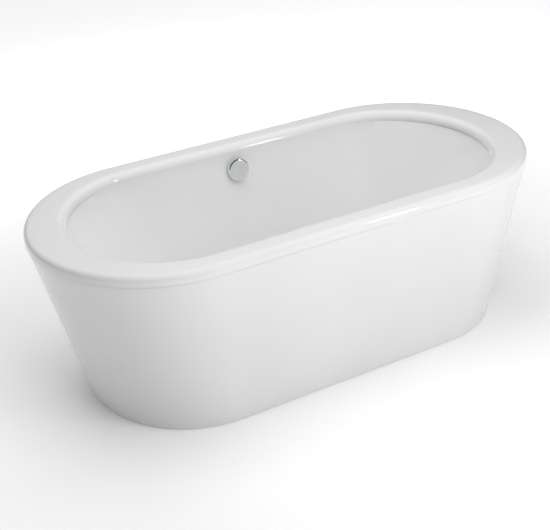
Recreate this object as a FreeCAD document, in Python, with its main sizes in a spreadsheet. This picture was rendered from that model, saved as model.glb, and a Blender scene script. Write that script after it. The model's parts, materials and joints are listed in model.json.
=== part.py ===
import FreeCAD, Part
import os
from math import atan2, cos, degrees, pi, sqrt, tan

import Sketcher

# Freestanding oval bath: an acrylic shell on a steel underframe, inside a one-piece tapered skirt, with a
# rotary overflow control on the long wall that lifts the plug in the floor through a Bowden cable.
# +X runs along the bath, +Y points to the side with the control, +Z is up, and the floor is at z = 0.

os.makedirs("parts", exist_ok=True)
doc = FreeCAD.newDocument("freestanding_bath")
V = FreeCAD.Vector

# ---------------------------------------------------------------- driving dimensions, in millimetres
SIZES = {
    # outline and height of the rim: straight long sides with half-ellipse ends
    "bath_length": 1800, "bath_width": 900, "bath_height": 610, "rim_end": 429,
    "lip_height": 33, "lip_round": 20, "lip_wall": 5, "deck_wall": 6, "shell_wall": 5,
    # basin: opening at the deck, floor, and their roundings
    "open_half_length": 771, "open_half_width": 360, "open_end": 326, "open_round": 27,
    "floor_half_length": 560, "floor_half_width": 285, "floor_end": 255,
    "floor_height": 185, "floor_wall": 6, "floor_round": 80,
    # skirt
    "skirt_setback": 2.6, "skirt_gap": 1.5, "skirt_clearance": 2, "skirt_wall": 5,
    "base_half_length": 774, "base_half_width": 384, "base_end": 361,
    "flange_width": 32, "flange_wall": 5,
    # underframe
    "board_half_length": 490, "board_half_width": 205, "board_end": 190, "board_thick": 16, "board_hole": 48,
    "rail_length": 880, "rail_width": 30, "rail_height": 15, "rail_wall": 1.5, "rail_side": 130,
    "beam_length": 660, "beam_width": 30, "beam_wall": 2, "beam_end": 400,
    "batten_length": 900, "batten_width": 32, "batten_height": 18, "batten_side": 408,
    "block_length": 40, "block_width": 12, "block_side": 418,
    "block_inner_share": 0.15, "block_outer_share": 0.42,
    "board_inner_share": 0.14, "board_outer_share": 0.38, "screw_end_gap": 1,
    # feet
    "foot_side": 290, "pad_radius": 30, "pad_height": 8, "neck_radius": 11, "neck_height": 14,
    "stem_radius": 6, "stem_top": 172, "nut_height": 10, "nut_radius": 11, "thread_clearance": 0.05,
    # fixings
    "bolt_radius": 4, "bolt_head_radius": 6.5, "bolt_head_height": 5, "bolt_nut_radius": 7.5,
    "bolt_nut_height": 6, "screw_radius": 2, "screw_head_radius": 4, "screw_head_height": 2.5,
    "board_screw_length": 12, "block_screw_length": 26, "hole_clearance": 0.2,
    # waste, on a vertical axis
    "waste_along": -20, "waste_hole": 26, "recess_radius": 37, "recess_depth": 2.5, "gasket_thick": 1,
    "strainer_radius": 35, "strainer_thick": 3.5, "sleeve_radius": 24.5, "sleeve_bore": 21.5,
    "sleeve_length": 26, "seat_radius": 26, "seat_depth": 2.5, "hub_radius": 7, "spoke_width": 4,
    "spoke_height": 7, "spoke_drop": 9, "lower_gasket_thick": 3, "lower_gasket_radius": 40,
    "cup_rim_radius": 41, "cup_rim_height": 6, "cup_radius": 36, "cup_bore": 32.5, "cup_bottom": 110,
    "cup_floor": 4, "cup_flange_radius": 45, "cup_flange_height": 6, "dip_radius": 18, "dip_bore": 15.5,
    "dip_bottom": 28, "inlet_height": 131, "inlet_radius": 14, "inlet_bore": 10.5, "inlet_end": 72,
    # trap and outlet
    "trap_seal": 3, "trap_bottom": 20, "trap_radius": 42, "trap_wall": 3, "trap_flange_height": 5,
    "trap_nut_radius": 49, "trap_nut_lip": 5, "trap_nut_height": 19, "branch_height": 74, "branch_radius": 20,
    "branch_bore": 17, "branch_end": 66, "outlet_reach": 96, "outlet_bottom": 10, "outlet_nut_radius": 27,
    "outlet_nut_length": 18, "outlet_nut_overlap": 13, "spigot_length": 40, "relief_radius": 19,
    "relief_height": 2, "stop_radius": 23, "stop_height": 4,
    # plug and its lever
    "cap_radius": 30, "cap_thick": 4, "cap_gap": 1, "cap_round": 2, "plug_seal_radius": 25,
    "plug_seal_gap": 0.3, "rod_radius": 4, "rod_bottom": 151.5, "lever_pivot_reach": 24,
    "lever_pivot_height": 148, "lever_pin_radius": 2, "lever_thick": 6, "lever_hub_radius": 4,
    "lever_width": 8, "lever_drop": 14,
    # overflow control, on an axis square to the leaning wall
    "control_along": -20, "control_height": 520, "overflow_hole": 26, "collar_radius": 40,
    "collar_height": 8, "collar_bore": 36, "collar_slot": 32, "collar_foot": 2,
    "knob_radius": 41, "knob_face_radius": 36,
    "knob_front": 22, "knob_shoulder": 5, "knob_back": 9.5, "knob_wall": 3, "knob_flat": 38, "knob_boss": 9,
    "spindle_radius": 4, "spindle_end": 40, "retainer_radius": 34, "retainer_thick": 2,
    "retainer_sleeve": 25, "retainer_bore": 20, "retainer_length": 18, "bearing_length": 6,
    "gasket_gap": 1, "spoke_overlap": 1, "flare_margin": 1,
    "housing_start": 5.7, "overflow_gasket_thick": 3, "housing_flange_radius": 36,
    "housing_flange_thick": 4, "housing_radius": 31, "housing_bore": 28, "housing_depth": 46,
    "housing_back": 3, "port_radius": 14, "port_bore": 10.5, "port_depth": 28, "port_end": 52,
    "crank_reach": 18, "crank_width": 8, "crank_thick": 5, "crank_depth": 38, "crank_pin_radius": 2.5,
    # overflow hose and cable
    "hose_radius": 12, "hose_bore": 9.5, "upper_nut_radius": 19, "lower_nut_radius": 17,
    "hose_nut_length": 20,
    "cable_radius": 2.5, "cable_side": 24, "cable_depth": 33, "ferrule_radius": 4, "ferrule_length": 16,
    "cable_sag": 9, "cable_bow": 14, "cable_seat": 2, "cable_top_run": 70, "cable_wall_run": 165,
    "cable_bend_in": 45, "cable_bend_rise": 105, "cable_foot_in": 90, "cable_foot_rise": 12,
    "cable_under_in": 165, "cable_last_run": 70,
}

sheet = doc.addObject("Spreadsheet::Sheet", "Sizes")
for row, (alias, value) in enumerate(SIZES.items(), start=1):
    sheet.set(f"A{row}", alias)
    sheet.set(f"B{row}", str(value))
    sheet.setAlias(f"B{row}", alias)
doc.recompute()

sub_parts = []


# ---------------------------------------------------------------- helpers
def size(expression):
    """Work out an expression of the sheet's aliases, in millimetres."""
    return float(sheet.evalExpression(str(expression)))


def spelled(expression):
    """Write an expression of aliases the way the document's other objects refer to them."""
    words = []
    word = ""
    for letter in str(expression) + " ":
        if letter.isalnum() or letter in "_.":
            word += letter
            continue
        words.append(f"Sizes.{word}" if word in SIZES else word)
        words.append(letter)
        word = ""
    return "".join(words).strip()


def bind(obj, **expressions):
    """Bind properties of an object to expressions of the sheet's aliases."""
    for name, expression in expressions.items():
        obj.setExpression(name, spelled(expression))
    return obj


def place(obj, x, y, z):
    """Bind an object's place to expressions of the sheet's aliases."""
    for axis, expression in (("x", x), ("y", y), ("z", z)):
        obj.setExpression(f"Placement.Base.{axis}", spelled(expression))
    return obj


TURNS = {
    "X": FreeCAD.Rotation(V(0, 1, 0), 90),
    "Y": FreeCAD.Rotation(V(1, 0, 0), -90),
    "-Y": FreeCAD.Rotation(V(1, 0, 0), 90),
    "Z": FreeCAD.Rotation(),
}


def rod(radius, length, x="0", y="0", z="0", along="Z"):
    """A cylinder that starts at x, y, z and runs along an axis."""
    obj = bind(doc.addObject("Part::Cylinder", "rod"), Radius=radius, Height=length)
    obj.Placement = FreeCAD.Placement(V(), TURNS[along])
    return place(obj, x, y, z)


def block(length, width, height, x="0", y="0", z="0"):
    """A box centred on x and y that stands on z."""
    obj = bind(doc.addObject("Part::Box", "block"), Length=length, Width=width, Height=height)
    return place(obj, f"({x}) - ({length}) / 2", f"({y}) - ({width}) / 2", z)


def hexagon(radius, height, x="0", y="0", z="0"):
    """A six-sided prism that stands on z."""
    obj = bind(doc.addObject("Part::Prism", "hexagon"), Circumradius=radius, Height=height)
    obj.Polygon = 6
    return place(obj, x, y, z)


def ball(radius, x, y, z):
    """A sphere centred on x, y, z."""
    return place(bind(doc.addObject("Part::Sphere", "ball"), Radius=radius), x, y, z)


def fuse(solids):
    """Join solids into one."""
    if len(solids) == 1:
        return solids[0]
    obj = doc.addObject("Part::MultiFuse", "joined")
    obj.Shapes = solids
    return obj


def cut(solid, holes):
    """Take holes out of a solid."""
    obj = doc.addObject("Part::Cut", "cut")
    obj.Base = solid
    obj.Tool = fuse(holes)
    return obj


def group(solids):
    """Keep identical loose pieces together as one sub-part of separate solids."""
    obj = doc.addObject("Part::Compound", "group")
    obj.Links = solids
    return obj


def sub_part(obj, name, placement=None):
    """Name an object as one piece of the bath and give it its place."""
    obj.Label = name
    if placement is not None:
        obj.Placement = placement
    sub_parts.append(obj)
    return obj


def new_body(name):
    """A new, named PartDesign body."""
    body = doc.addObject("PartDesign::Body", name)
    sub_part(body, name, FreeCAD.Placement())
    return body


def origin_plane(body, role):
    """One of a body's own origin planes."""
    return next(feature for feature in body.Origin.OriginFeatures if feature.Role == role)


def flat_sketch(body, name, z):
    """A horizontal sketch at height z."""
    sketch = body.newObject("Sketcher::SketchObject", name)
    sketch.AttachmentSupport = [(origin_plane(body, "XY_Plane"), "")]
    sketch.MapMode = "FlatFace"
    sketch.setExpression("AttachmentOffset.Base.z", spelled(z))
    return sketch


def oval_sketch(body, name, half_length, half_width, end, z):
    """A horizontal outline at height z: two straight sides closed by two half-ellipses."""
    sketch = flat_sketch(body, name, z)
    centre = size(half_length) - size(end)
    reach = size(end)
    side = size(half_width)
    arcs = []
    for way in (1, -1):
        middle = V(way * centre, 0, 0)
        ellipse = Part.Ellipse(V(way * centre, way * side, 0), V(way * (centre - reach), 0, 0), middle)
        arcs.append(sketch.addGeometry(Part.ArcOfEllipse(ellipse, pi, 2 * pi), False))
        sketch.exposeInternalGeometry(arcs[-1])
    right, left = arcs
    ends = [(sketch.Geometry[arc].StartPoint, sketch.Geometry[arc].EndPoint) for arc in arcs]
    back = sketch.addGeometry(Part.LineSegment(ends[0][1], ends[1][0]), False)
    front = sketch.addGeometry(Part.LineSegment(ends[1][1], ends[0][0]), False)
    constraint = Sketcher.Constraint
    for first, first_end, second, second_end in (
        (back, 1, right, 2), (back, 2, left, 1), (front, 1, left, 2), (front, 2, right, 1),
    ):
        sketch.addConstraint(constraint("Tangent", first, first_end, second, second_end))
    for arc in arcs:
        long_axis = arc + 1
        short_axis = arc + 2
        way = 1 if arc == right else -1
        sketch.addConstraint(constraint("PointOnObject", arc, 3, -1))
        sketch.addConstraint(constraint("Vertical", long_axis))
        upper = 1 if arc == right else 2
        high_end = (long_axis, 3 - upper, long_axis, upper)
        across = sketch.addConstraint(constraint("DistanceY", *high_end, 2 * side))
        outer = 2 if arc == right else 1
        far_end = (short_axis, 3 - outer, short_axis, outer)
        along = sketch.addConstraint(constraint("DistanceX", *far_end, 2 * reach))
        middle = (-1, 1, arc, 3) if way == 1 else (arc, 3, -1, 1)
        off = sketch.addConstraint(constraint("DistanceX", *middle, centre))
        sketch.setExpression(f"Constraints[{across}]", spelled(f"2 * ({half_width})"))
        sketch.setExpression(f"Constraints[{along}]", spelled(f"2 * ({end})"))
        sketch.setExpression(f"Constraints[{off}]", spelled(f"({half_length}) - ({end})"))
    return sketch


def pad(body, sketch, length, name):
    """Raise a sketch into a solid."""
    feature = bind(body.newObject("PartDesign::Pad", name), Length=length)
    feature.Profile = sketch
    return feature


def pocket(body, sketch, depth, name, upward=False):
    """Sink a sketch into the solid, and make sure that it removed something."""
    before = body.Shape.Volume
    feature = bind(body.newObject("PartDesign::Pocket", name), Length=depth)
    feature.Profile = sketch
    feature.Reversed = upward
    doc.recompute()
    if body.Shape.Volume >= before:
        raise RuntimeError(f"{body.Label}: {name} cuts nothing")
    return feature


def loft(body, kind, sketches, name):
    """A straight-sided loft through sketches, added to or taken from the body."""
    feature = body.newObject(f"PartDesign::{kind}", name)
    feature.Profile = sketches[0]
    feature.Sections = sketches[1:]
    feature.Ruled = True
    doc.recompute()
    return feature


def round_edges(body, radius, name, chosen):
    """Round the edges of the body's present shape that a test picks out."""
    base = body.Tip
    names = [f"Edge{i}" for i, edge in enumerate(base.Shape.Edges, start=1) if chosen(edge)]
    if not names:
        raise RuntimeError(f"{body.Label}: {name} finds no edge")
    feature = bind(body.newObject("PartDesign::Fillet", name), Radius=radius)
    feature.Base = (base, names)
    doc.recompute()
    return feature


def lies(edge, z, half_width=None):
    """Tell whether an edge lies flat at height z, and within half_width of the middle line."""
    box = edge.BoundBox
    flat = abs(box.ZMin - size(z)) < 0.01 and abs(box.ZMax - size(z)) < 0.01
    return flat and (half_width is None or all(abs(end.Y) < size(half_width) for end in edge.Vertexes))


def bore(body, radius, depth, placement, name):
    """Take a round hole out of a body along its placement's own Z axis."""
    before = body.Shape.Volume
    feature = bind(body.newObject("PartDesign::SubtractiveCylinder", name), Radius=radius, Height=depth)
    feature.Placement = placement
    doc.recompute()
    if body.Shape.Volume >= before:
        raise RuntimeError(f"{body.Label}: {name} cuts nothing")
    return feature


def ring(outer, inner, height, z, x="0", y="0"):
    """A flat ring or a short tube that stands on z."""
    return cut(rod(outer, height, x, y, z), [rod(inner, height, x, y, z)])


# ---------------------------------------------------------------- shared places
floor_under = "(floor_height - floor_wall)"
board_under = f"({floor_under} - board_thick)"
rail_under = f"({board_under} - rail_height)"
beam_under = f"({rail_under} - beam_width)"
deck_under = "(bath_height - deck_wall)"
skirt_top = "(bath_height - lip_height - skirt_gap)"
strainer_under = "(floor_height - recess_depth + gasket_thick)"
strainer_top = f"({strainer_under} + strainer_thick)"

# the basin wall leans outwards between the floor and the opening
wall_lean = atan2(size("open_half_width - floor_half_width"), size("bath_height - floor_height"))
wall_side = size("floor_half_width") + tan(wall_lean) * size("control_height - floor_height")
control_point = V(size("control_along"), wall_side, size("control_height"))
# the control's own frame: +Z square to the wall and into the basin, +Y up the wall
control_place = FreeCAD.Placement(control_point, FreeCAD.Rotation(V(1, 0, 0), 90 - degrees(wall_lean)))


# ---------------------------------------------------------------- acrylic shell
def make_hollow():
    """The space inside the basin, with the flare of the rounded opening, ready to take out of the shell."""
    body = doc.addObject("PartDesign::Body", "basin_space")
    inside = [
        oval_sketch(
            body, f"basin_inside_{kind}", f"{kind}_half_length", f"{kind}_half_width", f"{kind}_end", z
        )
        for kind, z in (("open", "bath_height"), ("floor", "floor_height"))
    ]
    loft(body, "AdditiveLoft", inside, "basin_space_walls")
    round_edges(body, "floor_round", "floor_rounding", lambda edge: lies(edge, "floor_height"))
    flare = "open_round + flare_margin"
    above = oval_sketch(
        body, "space_above", f"open_half_length + {flare}", f"open_half_width + {flare}",
        f"open_end + {flare}", "bath_height",
    )
    pad(body, above, "lip_height", "space_over_deck")
    doc.recompute()
    round_edges(
        body, "open_round", "opening_rounding",
        lambda edge: lies(edge, "bath_height", "open_half_width + shell_wall"),
    )
    return body


def make_shell():
    """Deck with a rolled lip, and the basin that hangs from it, all one sheet."""
    body = new_body("bath_shell")
    lip_bottom = "bath_height - lip_height"
    rim = oval_sketch(body, "rim_outline", "bath_length / 2", "bath_width / 2", "rim_end", lip_bottom)
    pad(body, rim, "lip_height", "rim_block")
    doc.recompute()
    under = oval_sketch(
        body, "under_outline", "bath_length / 2 - lip_wall", "bath_width / 2 - lip_wall",
        "rim_end - lip_wall", lip_bottom,
    )
    pocket(body, under, "lip_height - deck_wall", "rim_hollow", upward=True)
    round_edges(body, "lip_round - lip_wall", "lip_inner_rounding", lambda edge: lies(edge, deck_under))
    round_edges(body, "lip_round", "lip_rounding", lambda edge: lies(edge, "bath_height"))
    levels = (("top", "open", "bath_height - deck_wall / 2"), ("bottom", "floor", floor_under))
    outside = [
        oval_sketch(
            body, f"basin_outside_{name}", f"{kind}_half_length + shell_wall",
            f"{kind}_half_width + shell_wall", f"{kind}_end + shell_wall", z,
        )
        for name, kind, z in levels
    ]
    loft(body, "AdditiveLoft", outside, "basin_block")
    basin_side = "open_half_width + 2 * shell_wall"
    round_edges(
        body, "open_round - shell_wall", "deck_under_rounding",
        lambda edge: lies(edge, deck_under, basin_side),
    )
    outer_round = "floor_round + floor_wall"
    round_edges(body, outer_round, "floor_outer_rounding", lambda edge: lies(edge, floor_under))
    space = make_hollow()
    hollow = body.newObject("PartDesign::Boolean", "basin_hollow")
    hollow.setObjects([space])
    hollow.Type = "Cut"
    doc.recompute()
    drain = FreeCAD.Placement(V(size("waste_along"), 0, size(floor_under)), FreeCAD.Rotation())
    bore(body, "waste_hole", "floor_wall", drain, "waste_opening")
    recess_point = V(size("waste_along"), 0, size("floor_height - recess_depth"))
    recess = FreeCAD.Placement(recess_point, FreeCAD.Rotation())
    bore(body, "recess_radius", "recess_depth", recess, "waste_recess")
    behind = FreeCAD.Placement(V(0, 0, -2 * size("shell_wall")), FreeCAD.Rotation())
    bore(body, "overflow_hole", "4 * shell_wall", control_place.multiply(behind), "overflow_opening")
    return body


# ---------------------------------------------------------------- skirt
def row_places(length, side, outer_share, inner_share):
    """Where four fixings stand along each long side."""
    shares = (f"-{outer_share}", f"-{inner_share}", inner_share, outer_share)
    return [(f"{share} * {length}", f"{way} * {side}") for way in (-1, 1) for share in shares]


BLOCK_PLACES = row_places("batten_length", "block_side", "block_outer_share", "block_inner_share")
BOARD_SCREW_PLACES = row_places("rail_length", "rail_side", "board_outer_share", "board_inner_share")


def make_skirt():
    """One tapered wall round the bath, with an inward flange at its top."""
    body = new_body("apron")
    outlines = {
        "top": (
            "bath_length / 2 - skirt_setback", "bath_width / 2 - skirt_setback",
            "rim_end - skirt_setback", skirt_top,
        ),
        "base": ("base_half_length", "base_half_width", "base_end", "skirt_clearance"),
    }
    outer = [
        oval_sketch(body, f"outer_{name}", along, across, end, z)
        for name, (along, across, end, z) in outlines.items()
    ]
    loft(body, "AdditiveLoft", outer, "skirt_block")
    inner = [
        oval_sketch(
            body, f"inner_{name}", f"{along} - skirt_wall", f"{across} - skirt_wall",
            f"{end} - skirt_wall", f"{z} - flange_wall" if name == "top" else z,
        )
        for name, (along, across, end, z) in outlines.items()
    ]
    loft(body, "SubtractiveLoft", inner, "skirt_hollow")
    along, across, end, z = outlines["top"]
    opening = oval_sketch(
        body, "flange_opening", f"{along} - flange_width", f"{across} - flange_width",
        f"{end} - flange_width", z,
    )
    pocket(body, opening, "flange_wall", "flange_hole")
    for x, y in BLOCK_PLACES:
        hole = FreeCAD.Placement(V(size(x), size(y), size(f"{skirt_top} - flange_wall")), FreeCAD.Rotation())
        bore(body, "screw_radius + hole_clearance", "flange_wall", hole, "fixing_hole")
    return body




def make_rim_fixings():
    """Timber battens under the deck, and the blocks and screws that hold the skirt's flange to them."""
    bottom = f"{deck_under} - batten_height"
    for name, side in (("front", -1), ("back", 1)):
        holes = [
            rod("screw_radius + hole_clearance", "batten_height", x, y, bottom)
            for x, y in BLOCK_PLACES if size(y) * side > 0
        ]
        bar = block("batten_length", "batten_width", "batten_height", "0", f"{side} * batten_side", bottom)
        sub_part(cut(bar, holes), f"rim_batten_{name}")
    gap = f"({bottom} - ({skirt_top}))"
    blocks = [
        cut(block("block_length", "block_width", gap, x, y, skirt_top), [
            rod("screw_radius + hole_clearance", gap, x, y, skirt_top)
        ])
        for x, y in BLOCK_PLACES
    ]
    sub_part(group(blocks), "apron_fixing_blocks")
    under = f"({skirt_top} - flange_wall)"
    screws = [
        fuse([
            rod("screw_head_radius", "screw_head_height", x, y, f"{under} - screw_head_height"),
            rod("screw_radius", "block_screw_length", x, y, under),
        ])
        for x, y in BLOCK_PLACES
    ]
    sub_part(group(screws), "apron_screws")


# ---------------------------------------------------------------- underframe and feet
CORNERS = {"front_left": (-1, -1), "front_right": (1, -1), "back_left": (-1, 1), "back_right": (1, 1)}


def make_board():
    """Stiffening board bonded under the basin floor, with a hole round the waste."""
    body = new_body("base_board")
    outline = oval_sketch(
        body, "board_outline", "board_half_length", "board_half_width", "board_end", board_under
    )
    pad(body, outline, "board_thick", "board_panel")
    doc.recompute()
    hole = FreeCAD.Placement(V(size("waste_along"), 0, size(board_under)), FreeCAD.Rotation())
    bore(body, "board_hole", "board_thick", hole, "waste_clearance")
    for x, y in BOARD_SCREW_PLACES:
        hole_place = FreeCAD.Placement(V(size(x), size(y), size(board_under)), FreeCAD.Rotation())
        depth = "board_screw_length + screw_end_gap"
        bore(body, "screw_radius + hole_clearance", depth, hole_place, "screw_hole")


def make_rails():
    """Two rectangular tubes along the board, bolted to a square tube across the bath near each end."""
    for name, side in (("front", -1), ("back", 1)):
        y = f"{side} * rail_side"
        tube = block("rail_length", "rail_width", "rail_height", "0", y, rail_under)
        inside = block(
            "rail_length", "rail_width - 2 * rail_wall", "rail_height - 2 * rail_wall",
            "0", y, f"{rail_under} + rail_wall",
        )
        holes = [
            rod("screw_radius + hole_clearance", "rail_height", x, hole_y, rail_under)
            for x, hole_y in BOARD_SCREW_PLACES if size(hole_y) * side > 0
        ]
        holes += [
            rod("bolt_radius + hole_clearance", "rail_wall", f"{way} * beam_end", y, rail_under)
            for way in (-1, 1)
        ]
        sub_part(cut(tube, [inside] + holes), f"frame_rail_{name}")
    for name, way in (("left", -1), ("right", 1)):
        x = f"{way} * beam_end"
        tube = block("beam_width", "beam_length", "beam_width", x, "0", beam_under)
        inside = block(
            "beam_width - 2 * beam_wall", "beam_length", "beam_width - 2 * beam_wall",
            x, "0", f"{beam_under} + beam_wall",
        )
        holes = [
            rod(f"{radius} + hole_clearance", "beam_width", x, f"{side} * {reach}", beam_under)
            for side in (-1, 1)
            for radius, reach in (("bolt_radius", "rail_side"), ("stem_radius", "foot_side"))
        ]
        sub_part(cut(tube, [inside] + holes), f"cross_member_{name}")


def make_frame_fixings():
    """Screws into the board, and bolts and nuts where the tubes cross."""
    screws = [
        fuse([
            rod("screw_head_radius", "screw_head_height", x, y, f"{rail_under} - screw_head_height"),
            rod("screw_radius", "rail_height + board_screw_length", x, y, rail_under),
        ])
        for x, y in BOARD_SCREW_PLACES
    ]
    sub_part(group(screws), "board_screws")
    bolts = []
    nuts = []
    for way, side in CORNERS.values():
        x = f"{way} * beam_end"
        y = f"{side} * rail_side"
        shank = "beam_width + rail_height - 2 * rail_wall"
        bolts.append(fuse([
            hexagon("bolt_head_radius", "bolt_head_height", x, y, f"{beam_under} - bolt_head_height"),
            rod("bolt_radius", shank, x, y, beam_under),
        ]))
        inside = f"{rail_under} + rail_wall"
        nuts.append(cut(hexagon("bolt_nut_radius", "bolt_nut_height", x, y, inside), [
            rod("bolt_radius + thread_clearance", "bolt_nut_height", x, y, inside)
        ]))
    sub_part(group(bolts), "frame_bolts")
    sub_part(group(nuts), "frame_nuts")


def make_feet():
    """Four screw feet: a threaded stem in a plastic pad, with a nut over the tube and a lock nut under it."""
    insert_nuts = []
    lock_nuts = []
    for name, (way, side) in CORNERS.items():
        x = f"{way} * beam_end"
        y = f"{side} * foot_side"
        sub_part(rod("stem_radius", "stem_top - pad_height", x, y, "pad_height"), f"foot_stem_{name}")
        neck = rod("neck_radius", "pad_height + neck_height", x, y)
        sole = fuse([rod("pad_radius", "pad_height", x, y), neck])
        socket = rod("stem_radius + hole_clearance", "neck_height", x, y, "pad_height")
        sub_part(cut(sole, [socket]), f"foot_pad_{name}")
        for nuts, z in ((insert_nuts, rail_under), (lock_nuts, f"{beam_under} - nut_height")):
            nuts.append(cut(hexagon("nut_radius", "nut_height", x, y, z), [
                rod("stem_radius + thread_clearance", "nut_height", x, y, z)
            ]))
    sub_part(group(insert_nuts), "foot_insert_nuts")
    sub_part(group(lock_nuts), "foot_lock_nuts")


# ---------------------------------------------------------------- waste and trap
def waste_rod(radius, length, z):
    """A cylinder on the waste's axis."""
    return rod(radius, length, "waste_along", "0", z)


def make_strainer():
    """Chrome flange in the basin floor: a rimmed sleeve with a hub on four spokes, and its gaskets."""
    sleeve_bottom = f"({strainer_under} - sleeve_length)"
    shell = cut(
        fuse([
            waste_rod("strainer_radius", "strainer_thick", strainer_under),
            waste_rod("sleeve_radius", "sleeve_length", sleeve_bottom),
        ]),
        [
            waste_rod("sleeve_bore", "sleeve_length + strainer_thick", sleeve_bottom),
            waste_rod("seat_radius", "seat_depth", f"{strainer_top} - seat_depth"),
        ],
    )
    spoke_top = f"({strainer_top} - spoke_drop)"
    spoke_bottom = f"{spoke_top} - spoke_height"
    span = "2 * sleeve_bore + spoke_overlap"
    spokes = [
        block(length, width, "spoke_height", "waste_along", "0", spoke_bottom)
        for length, width in ((span, "spoke_width"), ("spoke_width", span))
    ]
    web = fuse([shell, waste_rod("hub_radius", "spoke_height", spoke_bottom)] + spokes)
    guide = waste_rod("rod_radius + thread_clearance", "spoke_height", spoke_bottom)
    sub_part(cut(web, [guide]), "waste_strainer")
    sub_part(
        ring("strainer_radius", "waste_hole", "gasket_thick", "floor_height - recess_depth", "waste_along"),
        "waste_upper_gasket",
    )
    sub_part(
        ring(
            "lower_gasket_radius", "waste_hole", "lower_gasket_thick",
            f"{floor_under} - lower_gasket_thick", "waste_along",
        ),
        "waste_lower_gasket",
    )


def make_waste_body():
    """Plastic cup under the floor with a side inlet for the overflow and a dip tube into the trap."""
    rim_top = f"({floor_under} - lower_gasket_thick)"
    inlet = rod("inlet_radius", "inlet_end", "waste_along", "0", "inlet_height", along="Y")
    solid = fuse([
        waste_rod("cup_rim_radius", "cup_rim_height", f"{rim_top} - cup_rim_height"),
        waste_rod("cup_radius", f"{rim_top} - cup_bottom", "cup_bottom"),
        waste_rod("cup_flange_radius", "cup_flange_height", "cup_bottom"),
        waste_rod("dip_radius", "cup_bottom - dip_bottom", "dip_bottom"),
        inlet,
    ])
    holes = [
        waste_rod("cup_bore", f"{rim_top} - cup_bottom - cup_floor", "cup_bottom + cup_floor"),
        waste_rod("dip_bore", "cup_bottom + cup_floor - dip_bottom", "dip_bottom"),
        rod("inlet_bore", "inlet_end", "waste_along", "0", "inlet_height", along="Y"),
        rod(
            "lever_pin_radius + hole_clearance", "2 * cup_rim_radius", "waste_along + lever_pivot_reach",
            "-cup_rim_radius", "lever_pivot_height", along="Y",
        ),
        rod(
            "cable_radius", "cup_rim_radius", "waste_along + cable_side", "0", "inlet_height", along="Y",
        ),
    ]
    sub_part(cut(solid, holes), "waste_body")


def make_plug():
    """Chrome plug with its stem and seal, and the lever under it that turns on a pin."""
    cap_under = f"({strainer_top} + cap_gap)"
    cap = doc.addObject("Part::Fillet", "cap")
    cap.Base = waste_rod("cap_radius", "cap_thick", cap_under)
    doc.recompute()
    top_edge = next(
        i for i, edge in enumerate(cap.Base.Shape.Edges, start=1) if lies(edge, f"{cap_under} + cap_thick")
    )
    cap.Edges = [(top_edge, size("cap_round"), size("cap_round"))]
    sub_part(cap, "plug_cap")
    sub_part(waste_rod("rod_radius", f"{cap_under} - rod_bottom", "rod_bottom"), "plug_stem")
    seal_bottom = f"({strainer_top} - seat_depth + plug_seal_gap)"
    seal = ring("plug_seal_radius", "rod_radius", f"{cap_under} - {seal_bottom}", seal_bottom, "waste_along")
    sub_part(seal, "plug_seal")
    pivot_x = "waste_along + lever_pivot_reach"
    hub = rod("lever_hub_radius", "lever_width", pivot_x, "-lever_width / 2", "lever_pivot_height", along="Y")
    arm = block(
        "lever_pivot_reach + rod_radius", "lever_width", "lever_thick",
        "waste_along + (lever_pivot_reach - rod_radius) / 2", "0", "lever_pivot_height - lever_thick / 2",
    )
    tail = block(
        "lever_thick", "lever_width", "lever_drop", pivot_x, "0", "lever_pivot_height - lever_drop"
    )
    hole = rod(
        "lever_pin_radius + thread_clearance", "lever_width", pivot_x, "-lever_width / 2",
        "lever_pivot_height", along="Y",
    )
    sub_part(cut(fuse([hub, arm, tail]), [hole]), "plug_lever")
    pin_half = "sqrt(cup_radius ^ 2 - lever_pivot_reach ^ 2)"
    pin = rod("lever_pin_radius", f"2 * {pin_half}", pivot_x, f"-{pin_half}", "lever_pivot_height", along="Y")
    sub_part(pin, "lever_pin")


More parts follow.
